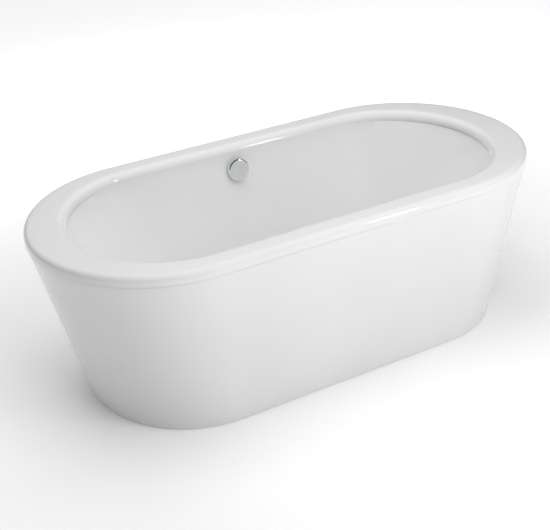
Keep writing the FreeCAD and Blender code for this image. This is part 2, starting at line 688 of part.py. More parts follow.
def make_trap():
    """Bottle trap under the waste: bowl with a side branch, seal, union nut, outlet bend and its nut."""
    top = "(cup_bottom - trap_seal)"
    bowl = cut(
        fuse([
            waste_rod("trap_radius", f"{top} - trap_bottom", "trap_bottom"),
            waste_rod("cup_flange_radius", "trap_flange_height", f"{top} - trap_flange_height"),
            rod("branch_radius", "branch_end", "waste_along", "0", "branch_height", along="X"),
        ]),
        [
            waste_rod(
                "trap_radius - trap_wall", f"{top} - trap_bottom - trap_wall", "trap_bottom + trap_wall"
            ),
            rod("branch_bore", "branch_end", "waste_along", "0", "branch_height", along="X"),
        ],
    )
    sub_part(bowl, "trap_bowl")
    sub_part(ring("trap_radius", "dip_radius", "trap_seal", top, "waste_along"), "trap_seal")
    nut_bottom = f"({top} - trap_flange_height - trap_nut_lip)"
    nut = cut(waste_rod("trap_nut_radius", "trap_nut_height", nut_bottom), [
        waste_rod("trap_radius + hole_clearance", "trap_nut_height", nut_bottom),
        waste_rod(
            "cup_flange_radius + hole_clearance", "trap_nut_height - trap_nut_lip",
            f"{nut_bottom} + trap_nut_lip",
        ),
    ])
    sub_part(nut, "trap_nut")
    bend_x = "(waste_along + outlet_reach)"
    start = "(waste_along + branch_end)"
    run = f"{bend_x} - {start}"
    # the spigot ends in a shallow relief and a shoulder that the pipe socket stops short of
    spigot_top = "(outlet_bottom + spigot_length)"
    stop_bottom = f"({spigot_top} + relief_height)"
    bend = cut(
        fuse([
            rod("branch_radius", run, start, "0", "branch_height", along="X"),
            rod("branch_radius", "spigot_length", bend_x, "0", "outlet_bottom"),
            rod("relief_radius", "relief_height", bend_x, "0", spigot_top),
            rod("stop_radius", "stop_height", bend_x, "0", stop_bottom),
            rod("branch_radius", f"branch_height - {stop_bottom}", bend_x, "0", stop_bottom),
            ball("branch_radius", bend_x, "0", "branch_height"),
        ]),
        [
            rod("branch_bore", run, start, "0", "branch_height", along="X"),
            rod("branch_bore", "branch_height - outlet_bottom", bend_x, "0", "outlet_bottom"),
            ball("branch_bore", bend_x, "0", "branch_height"),
        ],
    )
    sub_part(bend, "outlet_bend")
    nut_start = f"{start} - outlet_nut_overlap"
    outlet_nut, nut_hole = [
        rod(radius, "outlet_nut_length", nut_start, "0", "branch_height", along="X")
        for radius in ("outlet_nut_radius", "branch_radius + hole_clearance")
    ]
    sub_part(cut(outlet_nut, [nut_hole]), "outlet_nut")


# ---------------------------------------------------------------- overflow and its control
def make_overflow():
    """Housing clamped behind the wall by a flanged sleeve, with the trim ring on the basin side."""
    flange_back = "(-(housing_start + overflow_gasket_thick + housing_flange_thick))"
    gasket_back = "-(housing_start + overflow_gasket_thick)"
    sub_part(
        ring("housing_flange_radius", "overflow_hole + gasket_gap", "overflow_gasket_thick", gasket_back),
        "overflow_gasket", control_place,
    )
    housing = cut(
        fuse([
            rod("housing_flange_radius", "housing_flange_thick", z=flange_back),
            rod("housing_radius", f"housing_depth + {flange_back}", z="-housing_depth"),
            rod("port_radius", "port_end", z="-port_depth", along="-Y"),
        ]),
        [
            rod("housing_bore", "housing_depth - housing_back", z="-(housing_depth - housing_back)"),
            rod("port_bore", "port_end", z="-port_depth", along="-Y"),
            rod("cable_radius", "housing_flange_radius", "cable_side", "0", "-cable_depth", along="-Y"),
        ],
    )
    sub_part(housing, "overflow_body", control_place)
    bearing_bottom = "-(retainer_length / 2 + bearing_length / 2)"
    span = "2 * retainer_bore + spoke_overlap"
    spokes = [
        block(length, width, "bearing_length", "0", "0", bearing_bottom)
        for length, width in ((span, "spoke_width"), ("spoke_width", span))
    ]
    retainer = cut(
        fuse([
            ring("retainer_sleeve", "retainer_bore", "retainer_length", "-retainer_length"),
            ring("retainer_radius", "retainer_bore", "retainer_thick", "0"),
            rod("knob_boss", "bearing_length", z=bearing_bottom),
        ] + spokes),
        [rod("spindle_radius + thread_clearance", "bearing_length", z=bearing_bottom)],
    )
    sub_part(retainer, "overflow_retainer", control_place)
    slot = block("collar_slot", "collar_radius", "collar_height", "0", "-collar_radius", "collar_foot")
    collar = cut(rod("collar_radius", "collar_height"), [rod("collar_bore", "collar_height"), slot])
    sub_part(collar, "overflow_collar", control_place)


def make_knob():
    """Chrome rotary knob with a flat at its foot, on a spindle that carries the cable crank."""
    body = new_body("overflow_knob")
    sketch = body.newObject("Sketcher::SketchObject", "knob_profile")
    sketch.AttachmentSupport = [(origin_plane(body, "XZ_Plane"), "")]
    sketch.MapMode = "FlatFace"
    corners = [
        ("spindle_radius", "knob_front"), ("knob_face_radius", "knob_front"),
        ("knob_radius", "knob_front - knob_shoulder"),
        ("knob_radius", "knob_back"), ("knob_radius - knob_wall", "knob_back"),
        ("knob_radius - knob_wall", "knob_front - knob_shoulder - knob_wall / 2"),
        ("knob_face_radius - knob_wall / 2", "knob_front - knob_wall"),
        ("knob_boss", "knob_front - knob_wall"), ("knob_boss", "knob_back"), ("spindle_radius", "knob_back"),
    ]
    points = [V(size(x), size(y), 0) for x, y in corners]
    lines = [
        sketch.addGeometry(Part.LineSegment(point, following), False)
        for point, following in zip(points, points[1:] + points[:1])
    ]
    for i, line in enumerate(lines):
        following = lines[(i + 1) % len(lines)]
        sketch.addConstraint(Sketcher.Constraint("Coincident", line, 2, following, 1))
    for line, (x, y) in zip(lines, corners):
        for kind, expression in (("DistanceX", x), ("DistanceY", y)):
            index = sketch.addConstraint(Sketcher.Constraint(kind, -1, 1, line, 1, size(expression)))
            sketch.setExpression(f"Constraints[{index}]", spelled(expression))
    turned = body.newObject("PartDesign::Revolution", "knob_turned")
    turned.Profile = sketch
    turned.ReferenceAxis = (sketch, ["V_Axis"])
    turned.Angle = 360
    doc.recompute()
    top = body.newObject("PartDesign::AdditiveCylinder", "knob_middle")
    bind(top, Radius="spindle_radius", Height="knob_wall")
    top.Placement = FreeCAD.Placement(V(0, 0, size("knob_front - knob_wall")), FreeCAD.Rotation())
    doc.recompute()
    before = body.Shape.Volume
    flat = bind(
        body.newObject("PartDesign::SubtractiveBox", "knob_flat"),
        Length="2 * knob_radius", Width="knob_radius", Height="knob_front",
    )
    corner = V(-size("knob_radius"), -size("knob_flat + knob_radius"), 0)
    flat.Placement = FreeCAD.Placement(corner, FreeCAD.Rotation())
    doc.recompute()
    if body.Shape.Volume >= before:
        raise RuntimeError("overflow_knob: its flat cuts nothing")
    body.Placement = control_place
    spindle = rod("spindle_radius", "spindle_end + knob_front - knob_wall", z="-spindle_end")
    sub_part(group([spindle]), "knob_spindle", control_place)
    crank = cut(
        fuse([
            rod("crank_width", "crank_thick", z="-crank_depth"),
            block("crank_reach", "crank_width", "crank_thick", "crank_reach / 2", "0", "-crank_depth"),
            rod("crank_width / 2", "crank_thick", "crank_reach", "0", "-crank_depth"),
            rod("crank_pin_radius", "2 * crank_thick", "crank_reach", "0", "-crank_depth"),
        ]),
        [rod("spindle_radius", "crank_thick", z="-crank_depth")],
    )
    sub_part(crank, "cable_crank", control_place)


# ---------------------------------------------------------------- hose and cable
def bent_route(points, radii):
    """A wire of straight runs joined by tangent arcs at its inner points."""
    edges = []
    start = points[0]
    for before, corner, after, radius in zip(points, points[1:], points[2:], radii):
        arriving = (corner - before).normalize()
        leaving = (after - corner).normalize()
        half_turn = arriving.getAngle(leaving) / 2
        reach = radius * tan(half_turn)
        inner = (leaving - arriving).normalize()
        middle = corner + inner * (radius / cos(half_turn) - radius)
        arc_start = corner - arriving * reach
        arc_end = corner + leaving * reach
        edges.append(Part.LineSegment(start, arc_start).toShape())
        edges.append(Part.Arc(arc_start, middle, arc_end).toShape())
        start = arc_end
    edges.append(Part.LineSegment(start, points[-1]).toShape())
    return Part.Wire(edges)


def widest_radii(points):
    """The largest arc that each inner point of a route has room for."""
    radii = []
    for before, corner, after in zip(points, points[1:], points[2:]):
        shorter = min((corner - before).Length, (after - corner).Length)
        half_turn = (corner - before).getAngle(after - corner) / 2
        radii.append(0.45 * shorter / tan(half_turn))
    return radii


def tube_along(points, radius, name):
    """A round rod swept along a bent route, checked against its section and length."""
    radii = widest_radii(points)
    route = bent_route(points, radii)
    section = Part.Wire(Part.makeCircle(radius, points[0], points[1] - points[0]))
    solid = route.makePipeShell([section], True, False)
    expected = pi * radius ** 2 * route.Length
    if abs(solid.Volume / expected - 1) > 0.01:
        raise RuntimeError(f"{name}: volume {solid.Volume:.0f}, expected {expected:.0f}")
    print(name, "length", round(route.Length, 1), "radii", [round(r, 1) for r in radii])
    return solid


def held_line(name, shape):
    """Put a swept shape into the document as a sub-part."""
    feature = doc.addObject("Part::Feature", name)
    feature.Shape = shape
    sub_part(feature, name, FreeCAD.Placement())


def make_hose():
    """Corrugated overflow hose from the housing down under the rail to the waste, with a nut on each end."""
    start = control_place.multVec(V(0, -size("port_end"), -size("port_depth")))
    down = control_place.Rotation.multVec(V(0, -1, 0))
    drop = (start.z - size("inlet_height")) / -down.z
    points = [start, start + down * drop, V(size("waste_along"), size("inlet_end"), size("inlet_height"))]
    outer = tube_along(points, size("hose_radius"), "overflow_hose")
    inner = tube_along(points, size("hose_bore"), "overflow_hose_bore")
    held_line("overflow_hose", outer.cut(inner))
    upper_start = "-(port_end - hose_nut_length / 2)"
    upper, upper_hole = [
        rod(radius, "hose_nut_length", "0", upper_start, "-port_depth", along="-Y")
        for radius in ("upper_nut_radius", "port_radius + hole_clearance")
    ]
    sub_part(cut(upper, [upper_hole]), "hose_nut_upper", control_place)
    lower_start = "inlet_end - hose_nut_length / 2"
    lower, lower_hole = [
        rod(radius, "hose_nut_length", "waste_along", lower_start, "inlet_height", along="Y")
        for radius in ("lower_nut_radius", "inlet_radius + hole_clearance")
    ]
    sub_part(cut(lower, [lower_hole]), "hose_nut_lower")


def make_cable():
    """Bowden cable sheath from the housing to the waste, with a ferrule at each end."""
    side = size("cable_side")
    ferrule = size("ferrule_length")
    seat = size("cable_seat")
    housing_wall = sqrt(size("housing_radius") ** 2 - side ** 2)
    cup_wall = sqrt(size("cup_radius") ** 2 - side ** 2)
    depth = -size("cable_depth")
    upper_ferrule = control_place.multVec(V(side, -housing_wall + seat, depth))
    start = control_place.multVec(V(side, -housing_wall + seat - ferrule, depth))
    down = control_place.Rotation.multVec(V(0, -1, 0))
    lower_x = size("waste_along") + side
    level_z = size("inlet_height")
    lower_ferrule = V(lower_x, cup_wall - seat, level_z)
    end = V(lower_x, cup_wall - seat + ferrule, level_z)
    bow = size("cable_bow")
    points = [
        start,
        start + down * size("cable_top_run"),
        start + down * size("cable_wall_run") + V(bow, 0, 0),
        V(start.x + bow, start.y - size("cable_bend_in"), level_z + size("cable_bend_rise")),
        V(start.x + bow / 2, start.y - size("cable_foot_in"), level_z + size("cable_foot_rise")),
        V(start.x + bow / 2, start.y - size("cable_under_in"), level_z - size("cable_sag")),
        V(lower_x, end.y + size("cable_last_run"), level_z),
        end,
    ]
    held_line("cable_sheath", tube_along(points, size("cable_radius"), "cable_sheath"))
    radius = size("ferrule_radius")
    ferrules = [
        Part.makeCylinder(radius, ferrule, upper_ferrule, down),
        Part.makeCylinder(radius, ferrule, lower_ferrule, V(0, 1, 0)),
    ]
    housing_depth = size("housing_depth")
    housing_hole = Part.makeCylinder(size("housing_radius"), housing_depth, V(0, 0, -housing_depth))
    housing_hole.Placement = control_place
    cup_hole = Part.makeCylinder(size("cup_radius"), size("floor_height"), V(size("waste_along"), 0, 0))
    trimmed = [ferrules[0].cut(housing_hole), ferrules[1].cut(cup_hole)]
    held_line("cable_ferrules", Part.makeCompound(trimmed))


# ---------------------------------------------------------------- build, check and write
make_shell()
make_skirt()
make_rim_fixings()
make_board()
make_rails()
make_frame_fixings()
make_feet()
make_strainer()
make_waste_body()
make_plug()
make_trap()
make_overflow()
make_knob()
make_hose()
make_cable()
doc.recompute()

for obj in doc.Objects:
    if "Invalid" in obj.State or "Error" in obj.State:
        raise RuntimeError(f"{obj.Label} failed: {obj.State}")
for obj in sub_parts:
    if obj.Shape.isNull() or not obj.Shape.isValid() or not obj.Shape.Solids:
        raise RuntimeError(f"{obj.Label} has no valid solid")
for obj in sub_parts:
    obj.Shape.exportStep(f"parts/{obj.Label}.step")
print(len(sub_parts), "sub-parts")
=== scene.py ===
"""Looks of an oval freestanding bath: acrylic shell and skirt, rotary overflow control, plug, hose and feet."""
from __future__ import annotations

import json
import logging
from collections.abc import Sequence
from dataclasses import dataclass, field
from enum import Enum
from math import atan2, cos, pi, radians, sin, tan
from typing import Any

import bmesh
import bpy
from mathutils import Matrix, Vector


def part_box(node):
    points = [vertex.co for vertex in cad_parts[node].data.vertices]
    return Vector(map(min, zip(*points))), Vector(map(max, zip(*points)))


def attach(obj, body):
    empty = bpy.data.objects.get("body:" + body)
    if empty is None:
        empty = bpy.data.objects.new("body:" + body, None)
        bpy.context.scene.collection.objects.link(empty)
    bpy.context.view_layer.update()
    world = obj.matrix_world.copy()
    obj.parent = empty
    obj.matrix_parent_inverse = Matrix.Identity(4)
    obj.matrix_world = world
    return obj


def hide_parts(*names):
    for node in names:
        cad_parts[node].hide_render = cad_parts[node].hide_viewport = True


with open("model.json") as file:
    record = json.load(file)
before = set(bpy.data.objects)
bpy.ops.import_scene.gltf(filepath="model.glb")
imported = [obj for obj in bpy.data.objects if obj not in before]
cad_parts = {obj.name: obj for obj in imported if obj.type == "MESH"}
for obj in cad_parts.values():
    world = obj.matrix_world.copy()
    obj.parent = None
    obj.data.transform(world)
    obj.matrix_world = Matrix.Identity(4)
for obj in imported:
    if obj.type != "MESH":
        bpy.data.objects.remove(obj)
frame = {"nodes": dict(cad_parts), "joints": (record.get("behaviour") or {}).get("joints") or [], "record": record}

LOG = logging.getLogger("bath")
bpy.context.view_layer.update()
Ring = list[Vector]


# ---------------------------------------------------------------- shader helpers
class Value:
    """A number socket that Python arithmetic can be done on."""

    def __init__(self, tree: bpy.types.NodeTree, socket: bpy.types.NodeSocket) -> None:
        """Wrap an output socket.

        Args:
            tree: the node tree that the socket is in.
            socket: the output socket.
        """
        self.tree = tree
        self.socket = socket

    def _math(self, operation: str, first: Any, second: Any) -> Value:
        """Add a Math node.

        Args:
            operation: the Math node's operation.
            first: a Value or a number.
            second: a Value or a number.

        Returns:
            The result as a new Value.
        """
        node = self.tree.nodes.new("ShaderNodeMath")
        node.operation = operation
        for slot, operand in zip(node.inputs, (first, second)):
            if isinstance(operand, Value):
                self.tree.links.new(operand.socket, slot)
            else:
                slot.default_value = operand
        return Value(self.tree, node.outputs[0])

    def __add__(self, other: Any) -> Value:
        """Sum of two values."""
        return self._math("ADD", self, other)

    __radd__ = __add__

    def __sub__(self, other: Any) -> Value:
        """Difference of two values."""
        return self._math("SUBTRACT", self, other)

    def __rsub__(self, other: Any) -> Value:
        """Difference, with the number first."""
        return self._math("SUBTRACT", other, self)

    def __mul__(self, other: Any) -> Value:
        """Product of two values."""
        return self._math("MULTIPLY", self, other)

    __rmul__ = __mul__


class Paint:
    """A material's node tree, with one Principled shader and object coordinates."""

    def __init__(self, name: str, **constants: Any) -> None:
        """Start a material.

        Args:
            name: the material's name.
            constants: values for the shader's own sockets, with underscores for spaces.
        """
        self.material = bpy.data.materials.new(name)
        self.material.use_nodes = True
        self.tree = self.material.node_tree
        self.shader = next(node for node in self.tree.nodes if node.type == "BSDF_PRINCIPLED")
        self.place = self.node("ShaderNodeTexCoord").outputs["Object"]
        for key, value in constants.items():
            self.shader.inputs[key.replace("_", " ")].default_value = value

    def node(self, kind: str, settings: dict[str, Any] | None = None,
             inputs: dict[Any, Any] | None = None) -> bpy.types.Node:
        """Add a node.

        Args:
            kind: the node's type name.
            settings: its own properties, such as an operation.
            inputs: values or links for its sockets, by name or index.

        Returns:
            The new node.
        """
        node = self.tree.nodes.new(kind)
        for key, value in (settings or {}).items():
            setattr(node, key, value)
        for key, value in (inputs or {}).items():
            self.connect(value, node.inputs[key])
        return node

    def connect(self, value: Any, slot: bpy.types.NodeSocket) -> None:
        """Link or set one input.

        Args:
            value: a Value, an output socket or a constant.
            slot: the input socket.
        """
        if isinstance(value, Value):
            self.tree.links.new(value.socket, slot)
        elif isinstance(value, bpy.types.NodeSocket):
            self.tree.links.new(value, slot)
        else:
            slot.default_value = value

    def stretched(self, scale: tuple[float, float, float]) -> bpy.types.NodeSocket:
        """Object coordinates scaled along each axis."""
        return self.node("ShaderNodeMapping", inputs={"Vector": self.place, "Scale": scale}).outputs[0]

    def noise(self, scale: float, detail: float = 3.0, vector: bpy.types.NodeSocket | None = None) -> Value:
        """Soft noise.

        Args:
            scale: how many features there are in a metre.
            detail: how many finer layers are added.
            vector: the coordinates to read, the object's own if left out.

        Returns:
            The noise, about 0 to 1.
        """
        inputs = {"Vector": vector or self.place, "Scale": scale, "Detail": detail}
        return Value(self.tree, self.node("ShaderNodeTexNoise", inputs=inputs).outputs[0])

    def cells(self, scale: float, vector: bpy.types.NodeSocket | None = None) -> Value:
        """Distance to the nearest cell centre, for chips and spots."""
        inputs = {"Vector": vector or self.place, "Scale": scale}
        return Value(self.tree, self.node("ShaderNodeTexVoronoi", inputs=inputs).outputs["Distance"])

    def band(self, value: Value, low: float, high: float) -> Value:
        """A mask that rises from 0 at low to 1 at high."""
        inputs = {"Value": value, "From Min": low, "From Max": high}
        node = self.node("ShaderNodeMapRange", {"interpolation_type": "SMOOTHSTEP"}, inputs)
        return Value(self.tree, node.outputs[0])

    def blend(self, factor: Value, first: Any, second: Any) -> bpy.types.NodeSocket:
        """Mix two colours.

        Args:
            factor: 0 gives the first colour, 1 the second.
            first: a colour or a colour socket.
            second: a colour or a colour socket.

        Returns:
            The mixed colour's socket.
        """
        node = self.node("ShaderNodeMix", {"data_type": "RGBA"})
        self.connect(factor, node.inputs[0])
        for slot, colour in ((node.inputs[6], first), (node.inputs[7], second)):
            self.connect((*colour, 1.0) if isinstance(colour, tuple) else colour, slot)
        return node.outputs[2]

    def finish(self, colour: Any, roughness: Value, height: Value, depth: float) -> bpy.types.Material:
        """Feed the shader.

        Args:
            colour: a colour socket.
            roughness: the roughness over the surface.
            height: the relief's height, about 0 to 1.
            depth: the relief's real depth in metres.

        Returns:
            The finished material.
        """
        bump = self.node("ShaderNodeBump", inputs={"Strength": 1.0, "Distance": depth, "Height": height})
        self.connect(colour, self.shader.inputs["Base Color"])
        self.connect(roughness, self.shader.inputs["Roughness"])
        self.connect(bump.outputs[0], self.shader.inputs["Normal"])
        return self.material


# ---------------------------------------------------------------- finishes
Colour = tuple[float, float, float]


@dataclass(frozen=True)
class Acrylic:
    """Polished sanitary acrylic, a little uneven from forming, with faint wipe marks."""

    colour: Colour = (0.80, 0.805, 0.80)
    tint: Colour = (0.775, 0.785, 0.78)
    roughness: float = 0.09
    ripple: float = 0.00006

    def build(self, name: str) -> bpy.types.Material:
        """Make the material."""
        paint = Paint(name, IOR=1.49, Coat_Weight=0.35, Coat_Roughness=0.03)
        cloud = paint.noise(2.2, 2.0)
        wipes = paint.noise(5.0, 4.0, paint.stretched((1.0, 5.0, 2.0)))
        specks = 1.0 - paint.band(paint.cells(55.0), 0.02, 0.05)
        colour = paint.blend(paint.band(cloud, 0.35, 0.7), self.colour, self.tint)
        colour = paint.blend(specks * 0.04, colour, (0.6, 0.6, 0.58))
        roughness = self.roughness + 0.05 * paint.band(wipes, 0.45, 0.75) + 0.05 * specks
        height = paint.noise(7.0, 1.0) + 0.08 * paint.noise(160.0, 2.0)
        return paint.finish(colour, roughness, height, self.ripple)


@dataclass(frozen=True)
class Plate:
    """Bright plated or turned metal with fine polishing marks and faint water spots."""

    colour: Colour
    worn: Colour
    roughness: float = 0.06
    grain: float = 420.0
    relief: float = 0.000004

    def build(self, name: str) -> bpy.types.Material:
        """Make the material."""
        paint = Paint(name, Metallic=1.0, Coat_Weight=0.1, Coat_Roughness=0.05)
        smear = paint.noise(38.0, 4.0)
        lines = paint.noise(self.grain, 2.0, paint.stretched((1.0, 1.0, 8.0)))
        spots = 1.0 - paint.band(paint.cells(240.0), 0.10, 0.16)
        colour = paint.blend(paint.band(smear, 0.5, 0.8), self.colour, self.worn)
        roughness = self.roughness + 0.08 * paint.band(smear, 0.45, 0.75) + 0.05 * lines + 0.08 * spots
        return paint.finish(colour, roughness, lines + 0.4 * spots, self.relief)


@dataclass(frozen=True)
class Moulded:
    """Moulded plastic or rubber with a fine grain, dusty in its hollows."""

    colour: Colour
    dust: Colour
    roughness: float = 0.42
    grain: float = 900.0
    relief: float = 0.00002

    def build(self, name: str) -> bpy.types.Material:
        """Make the material."""
        paint = Paint(name, IOR=1.5)
        grain = paint.noise(self.grain, 3.0)
        patches = paint.noise(24.0, 5.0)
        scuffs = paint.noise(60.0, 5.0, paint.stretched((1.0, 9.0, 1.0)))
        colour = paint.blend(0.5 * paint.band(patches, 0.5, 0.75), self.colour, self.dust)
        roughness = self.roughness + 0.15 * patches + 0.12 * paint.band(scuffs, 0.6, 0.75)
        return paint.finish(colour, roughness, grain + 0.5 * scuffs, self.relief)


@dataclass(frozen=True)
class PowderCoat:
    """Powder-coated steel: an orange-peel skin, scuffed through here and there."""

    colour: Colour
    thin: Colour
    bare: Colour = (0.35, 0.33, 0.31)

    def build(self, name: str) -> bpy.types.Material:
        """Make the material."""
        paint = Paint(name, Coat_Weight=0.15)
        peel = paint.noise(320.0, 2.0)
        scuff = paint.band(paint.noise(46.0, 7.0), 0.70, 0.74)
        colour = paint.blend(scuff, paint.blend(paint.noise(9.0, 3.0), self.colour, self.thin), self.bare)
        return paint.finish(colour, 0.34 + 0.12 * peel + 0.2 * scuff, peel - 0.3 * scuff, 0.00005)


@dataclass(frozen=True)
class Zinc:
    """Zinc-plated steel with a fine spangle and dull, slightly yellow stains."""

    bright: Colour = (0.62, 0.63, 0.64)
    dull: Colour = (0.47, 0.46, 0.42)

    def build(self, name: str) -> bpy.types.Material:
        """Make the material."""
        paint = Paint(name, Metallic=0.95)
        spangle = paint.cells(650.0)
        stain = paint.band(paint.noise(90.0, 5.0), 0.45, 0.7)
        colour = paint.blend(stain, self.bright, self.dull)
        return paint.finish(colour, 0.26 + 0.16 * stain + 0.14 * spangle, spangle, 0.00001)


@dataclass(frozen=True)
class Chipboard:
    """Raw chipboard: pale and dark flakes pressed together."""

    pale: Colour = (0.66, 0.52, 0.34)
    dark: Colour = (0.33, 0.22, 0.13)

    def build(self, name: str) -> bpy.types.Material:
        """Make the material."""
        paint = Paint(name)
        flakes = paint.cells(260.0, paint.stretched((1.0, 0.45, 1.0)))
        fibres = paint.noise(420.0, 6.0, paint.stretched((1.0, 0.3, 1.0)))
        colour = paint.blend(paint.band(flakes * fibres, 0.12, 0.34), self.pale, self.dark)
        return paint.finish(colour, 0.72 + 0.16 * fibres, fibres + flakes, 0.0002)


@dataclass(frozen=True)
class Softwood:
    """Planed softwood with growth lines along X and finer pores."""

    early: Colour = (0.72, 0.53, 0.32)
    late: Colour = (0.50, 0.31, 0.15)

    def build(self, name: str) -> bpy.types.Material:
        """Make the material."""
        paint = Paint(name)
        bent = paint.stretched((0.06, 1.0, 1.0))
        growth = paint.noise(140.0, 3.0, bent)
        pores = paint.noise(1100.0, 3.0, bent)
        colour = paint.blend(paint.band(growth, 0.45, 0.62), self.early, self.late)
        return paint.finish(colour, 0.55 + 0.2 * pores, growth + 0.6 * pores, 0.0001)


@dataclass(frozen=True)
class FloorPaint:
    """Seamless pale studio floor with a painted glow, dim near the bath and brighter away from it, and a faint mottle.
    """

    # near and far: the emission colours of the painted glow beside the bath and away from it.
    near: Colour = (0.18, 0.18, 0.18)
    far: Colour = (0.80, 0.80, 0.80)

    def build(self, name: str) -> bpy.types.Material:
        """Make the material."""
        paint = Paint(name, Emission_Strength=1.0)
        # Painted light: the floor glows though it is no lamp, more strongly with distance from its middle under the
        # bath.
        reach = paint.node("ShaderNodeVectorMath", {"operation": "LENGTH"}, {0: paint.place}).outputs["Value"]
        painted_glow = paint.blend(paint.band(Value(paint.tree, reach), 1.0, 3.0), self.near, self.far)
        paint.connect(painted_glow, paint.shader.inputs["Emission Color"])
        mottle = paint.noise(3.0, 4.0)
        colour = paint.blend(mottle, (0.93, 0.93, 0.93), (0.90, 0.90, 0.90))
        return paint.finish(colour, 0.7 + 0.1 * mottle, paint.noise(300.0), 0.00002)


class Slot(Enum):
    """The record's material slots, each with its finish."""

    WHITE_ACRYLIC = Acrylic()
    CHROME = Plate((0.92, 0.93, 0.94), (0.84, 0.85, 0.86))
    BRASS = Plate((0.72, 0.54, 0.24), (0.52, 0.36, 0.15), roughness=0.2)
    CHIPBOARD = Chipboard()
    TIMBER = Softwood()
    PAINTED_STEEL = PowderCoat((0.52, 0.53, 0.54), (0.47, 0.48, 0.49))
    ZINC_STEEL = Zinc()
    WHITE_PLASTIC = Moulded((0.78, 0.78, 0.75), (0.62, 0.61, 0.57))
    GREY_PLASTIC = Moulded((0.26, 0.27, 0.28), (0.38, 0.38, 0.37))
    BLACK_PLASTIC = Moulded((0.02, 0.02, 0.022), (0.10, 0.10, 0.10))
    BLACK_RUBBER = Moulded((0.012, 0.012, 0.012), (0.09, 0.09, 0.085), roughness=0.6, grain=1500.0)

    @property
    def key(self) -> str:
        """The slot's name in the record."""
        return self.name.lower()


class Finishes:
    """Builds each finish once, and dresses pieces and CAD nodes with it."""

    def __init__(self) -> None:
        """Build every slot's material."""
        self.materials = {slot.key: slot.value.build(slot.key) for slot in Slot}

    def dress(self, piece: bpy.types.Object, slot: str) -> None:
        """Give a piece its slot's material.

        Args:
            piece: a CAD node's object or a new piece.
            slot: the slot's name in the record.
        """
        piece.data.materials.clear()
        piece.data.materials.append(self.materials[slot])

    def dress_nodes(self) -> None:
        """Give every CAD node the material of its slot."""
        for part in frame["record"]["subparts"]:
            self.dress(frame["nodes"][part["node"]], part["material_slot"])
        LOG.info("dressed %d CAD nodes", len(frame["nodes"]))


# ---------------------------------------------------------------- mesh helpers
def make_piece(name: str, mesh: bpy.types.Mesh, sharp: float = radians(32)) -> bpy.types.Object:
    """Turn a mesh into a smooth-shaded object at the origin.

    Args:
        name: the piece's name.
        mesh: its mesh.
        sharp: edges that turn by more than this stay sharp.

    Returns:
        The new object.
    """
    mesh.name = name
    mesh.polygons.foreach_set("use_smooth", [True] * len(mesh.polygons))
    mesh.set_sharp_from_angle(angle=sharp)
    piece = bpy.data.objects.new(name, mesh)
    bpy.context.scene.collection.objects.link(piece)
    return piece


def closed_bands(rings: Sequence[Ring], close_ends: bool = True) -> bpy.types.Mesh:
    """Join closed rings of equal count into a skin.

    Args:
        rings: the rings, in order along the skin.
        close_ends: True fills the first and last ring; False joins the last ring to the first.

    Returns:
        A closed mesh whose faces point outwards.
    """
    shape = bmesh.new()
    rows = [[shape.verts.new(point) for point in ring] for ring in rings]
    pairs = list(zip(rows, rows[1:]))
    if close_ends:
        shape.faces.new(rows[0])
        shape.faces.new(rows[-1])
    else:
        pairs.append((rows[-1], rows[0]))
    for first, second in pairs:
        count = len(first)
        for i in range(count):
            j = (i + 1) % count
            shape.faces.new((first[i], first[j], second[j], second[i]))
    bmesh.ops.remove_doubles(shape, verts=shape.verts, dist=1e-7)
    bmesh.ops.recalc_face_normals(shape, faces=shape.faces)
    mesh = bpy.data.meshes.new("skin")
    shape.to_mesh(mesh)
    shape.free()
    return mesh


def arc(centre: tuple[float, float], radius: float, start: float, end: float, steps: int) -> list[tuple[float, float]]:
    """Points on an arc, with angles from the horizontal axis.

    Args:
        centre: the arc's centre.
        radius: its radius.
        start: the first point's angle.
        end: the last point's angle.
        steps: how many spans it has.

    Returns:
        The points, both ends included.
    """
    angles = [start + (end - start) * i / steps for i in range(steps + 1)]
    return [(centre[0] + radius * cos(a), centre[1] + radius * sin(a)) for a in angles]


def turned(profile: Sequence[tuple[float, float]], place: Matrix, steps: int = 96,
           lowest: float | None = None) -> bpy.types.Mesh:
    """Turn a profile about its axis into a closed solid.

    Args:
        profile: radius and height of each point, from the axis back to the axis.
        place: where the solid goes.
        steps: how many points go round.
        lowest: cuts the solid flat at this value of its own Y.

    Returns:
        The mesh.
    """
    shape = bmesh.new()
    rows = []
    for radius, height in profile:
        ring = []
        for i in range(steps):
            angle = 2 * pi * i / steps
            across = radius * sin(angle)
            if lowest is not None:
                across = max(across, lowest)
            ring.append(shape.verts.new(place @ Vector((radius * cos(angle), across, height))))
        rows.append(ring)
    for first, second in zip(rows, rows[1:]):
        for i in range(steps):
            j = (i + 1) % steps
            shape.faces.new((first[i], first[j], second[j], second[i]))
    bmesh.ops.remove_doubles(shape, verts=shape.verts, dist=1e-7)
    bmesh.ops.dissolve_degenerate(shape, edges=shape.edges, dist=1e-7)
    bmesh.ops.recalc_face_normals(shape, faces=shape.faces)
    mesh = bpy.data.meshes.new("turned")
    shape.to_mesh(mesh)
    shape.free()
    return mesh


def evaluated(piece: bpy.types.Object) -> bpy.types.Mesh:
    """The mesh of an object as its modifiers leave it."""
    bpy.context.view_layer.update()
    return bpy.data.meshes.new_from_object(piece.evaluated_get(bpy.context.evaluated_depsgraph_get()))


def with_holes(mesh: bpy.types.Mesh, cutters: Sequence[bpy.types.Mesh]) -> bpy.types.Mesh:
    """Take solids out of a mesh.

    Args:
        mesh: the solid to cut.
        cutters: the solids to take out.

    Returns:
        The cut mesh.
    """
    body = bpy.data.objects.new("cut_body", mesh)
    tools = [bpy.data.objects.new("cutter", cutter) for cutter in cutters]
    for item in [body, *tools]:
        bpy.context.scene.collection.objects.link(item)
    for tool in tools:
        modifier = body.modifiers.new("hole", "BOOLEAN")
        modifier.operation = "DIFFERENCE"
        modifier.solver = "EXACT"
        modifier.object = tool
    result = evaluated(body)
    for item in [body, *tools]:
        bpy.data.objects.remove(item)
    return result


